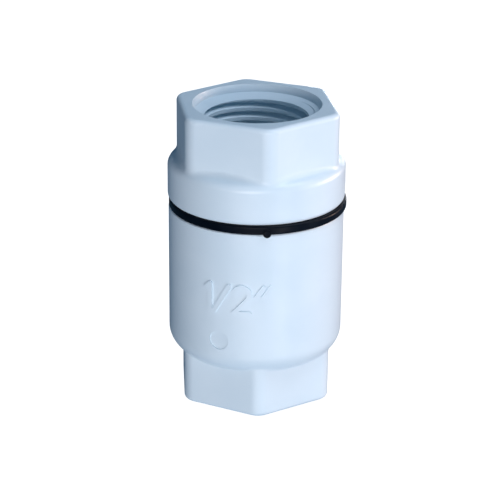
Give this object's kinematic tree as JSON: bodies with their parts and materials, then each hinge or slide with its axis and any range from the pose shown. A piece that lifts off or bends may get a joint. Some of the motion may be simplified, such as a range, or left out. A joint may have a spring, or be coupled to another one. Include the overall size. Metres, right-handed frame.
{
  "type": "check valve",
  "caption": "In-line spring check valve: two hexagon-ended white plastic shells screwed together over a rubber gasket, a spring-loaded poppet inside, female pipe thread at both ends.",
  "frame": {"origin": "centre of the inlet end's flat face, on the valve's axis, where it stands", "axes": "+Z along the flow, from the inlet to the outlet cap; -Y faces the side with the raised size number; +X to the right of that view"},
  "size_m": [0.0323, 0.0324, 0.055],
  "materials": {
    "white_pvc": "glossy injection-moulded PVC, cool white",
    "gasket_rubber": "black rubber, faint sheen",
    "seal_rubber": "black rubber, matt",
    "guide_acetal": "off-white acetal, matt",
    "bush_acetal": "black acetal, matt",
    "spring_steel": "bright stainless spring steel",
    "stainless": "turned stainless steel"
  },
  "bodies": {
    "body": {"inlet_body": "white_pvc"},
    "gasket": {"body_gasket": "gasket_rubber"},
    "cap": {"outlet_cap": "white_pvc", "guide_spider": "guide_acetal", "stem_bush": "bush_acetal", "snap_ring": "spring_steel", "return_spring": "spring_steel"},
    "poppet": {"valve_stem": "stainless", "stem_clip": "spring_steel", "valve_disc": "guide_acetal", "seat_seal": "seal_rubber", "seal_retainer": "guide_acetal", "stem_washer": "stainless", "stem_nut": "stainless"}
  },
  "joints": [
    {"name": "gasket_rise", "type": "slide", "parent": "body", "child": "gasket", "axis": [0, 0, 1], "range_m": [0, 0.00801]},
    {"name": "cap_unscrew", "type": "hinge", "parent": "gasket", "child": "cap", "pos_m": [0, 0, 0], "axis": [0, 0, 1], "range_deg": [0, 1440]},
    {"name": "poppet_lift", "type": "slide", "parent": "cap", "child": "poppet", "axis": [0, 0, 1], "range_m": [0, 0.0045], "stiffness_N_per_m": 900, "springref_m": -0.002, "deforming": ["return_spring"]}
  ],
  "couplings": [
    {"joint": "gasket_rise", "follows": "cap_unscrew", "m_per_rad": 0.00031831}
  ]
}
